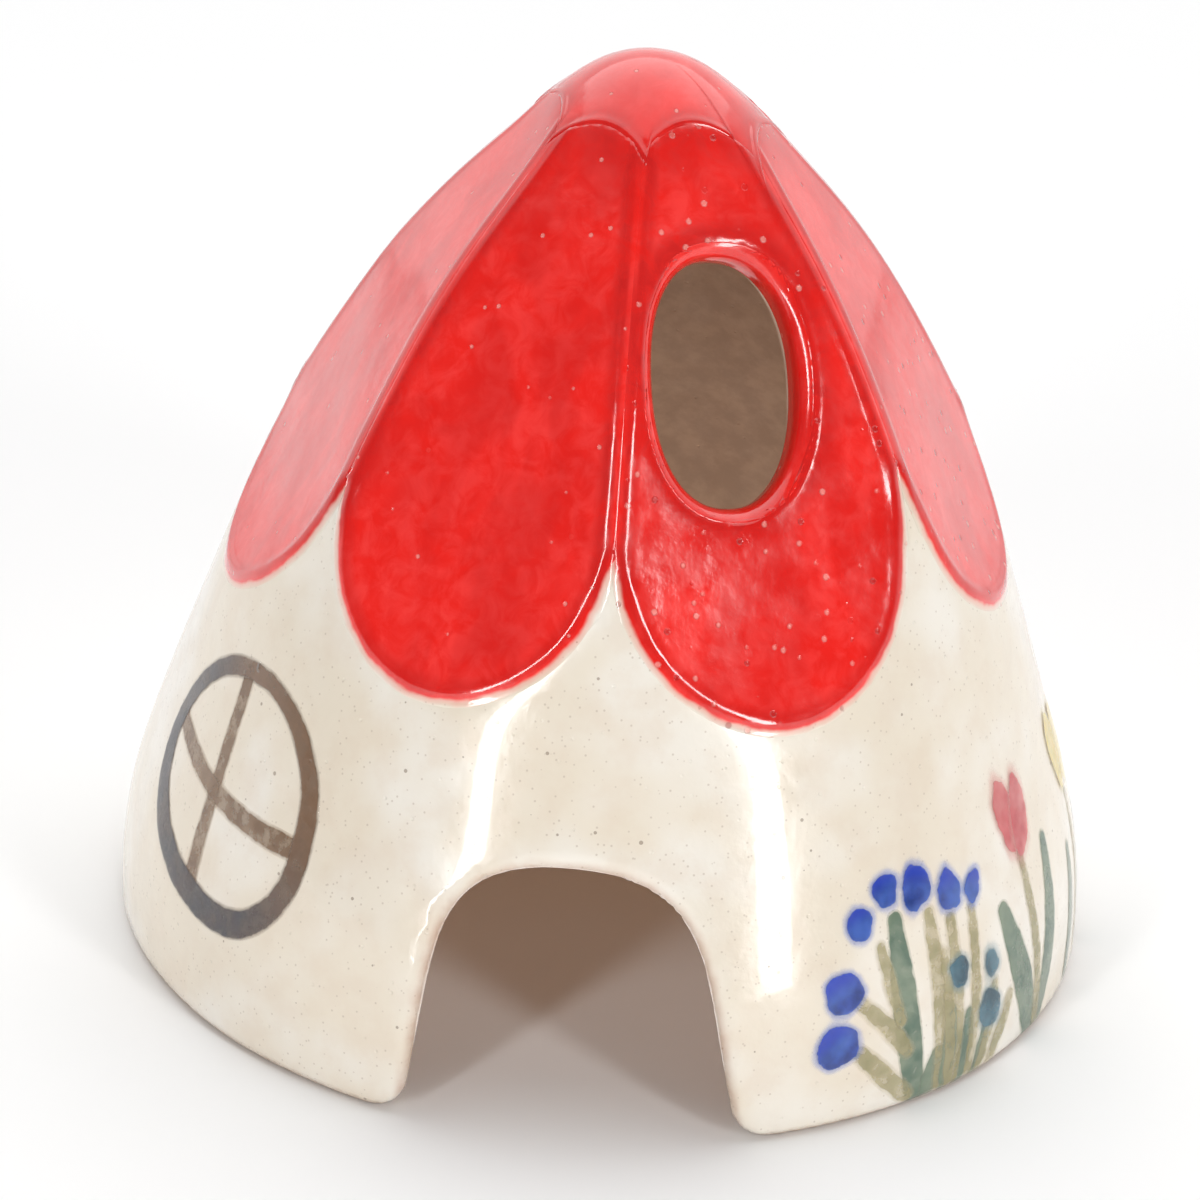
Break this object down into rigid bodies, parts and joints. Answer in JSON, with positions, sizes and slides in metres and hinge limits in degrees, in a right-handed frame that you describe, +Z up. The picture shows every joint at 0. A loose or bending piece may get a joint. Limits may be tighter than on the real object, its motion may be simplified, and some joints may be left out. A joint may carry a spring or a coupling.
{
  "type": "ceramic garden cottage",
  "caption": "Small glazed stoneware cottage: bell-shaped wall, arched doorway, petal-cut red roof with an oval opening, and a painted window and flowers.",
  "frame": {"origin": "centre of the foot ring, on the plane it stands on", "axes": "+Z up along the bell's axis, -Y out through the doorway, +X to the right of someone facing the doorway"},
  "size_m": [0.0962, 0.0931, 0.0894],
  "materials": {
    "cream_stoneware": "clear gloss glaze over speckled pale stoneware",
    "red_glaze": "thick glossy red glaze",
    "dark_underglaze": "blue-black to brown brush strokes under clear glaze",
    "brown_underglaze": "watery brown brush strokes under clear glaze",
    "blue_underglaze": "cobalt blue dabs under clear glaze",
    "teal_underglaze": "blue-green dabs under clear glaze",
    "khaki_underglaze": "pale khaki brush strokes under clear glaze",
    "sage_underglaze": "grey-green brush strokes under clear glaze",
    "tulip_red_underglaze": "soft red brush strokes under clear glaze",
    "yellow_underglaze": "pale yellow brush strokes under clear glaze"
  },
  "bodies": {
    "root": {"stoneware_body": "cream_stoneware", "petal_glaze_back": "red_glaze", "petal_glaze_back_left": "red_glaze", "petal_glaze_left": "red_glaze", "petal_glaze_front_left": "red_glaze", "petal_glaze_front_right": "red_glaze", "petal_glaze_right": "red_glaze", "petal_glaze_back_right": "red_glaze", "crown_glaze": "red_glaze", "opening_glaze": "red_glaze", "window_ring": "dark_underglaze", "window_upright_bar": "brown_underglaze", "window_cross_bar": "brown_underglaze", "blue_blossoms": "blue_underglaze", "teal_buds": "teal_underglaze", "blossom_stems": "khaki_underglaze", "sage_leaves": "sage_underglaze", "red_tulip": "tulip_red_underglaze", "yellow_tulip": "yellow_underglaze", "tulip_stems": "khaki_underglaze"}
  },
  "joints": []
}
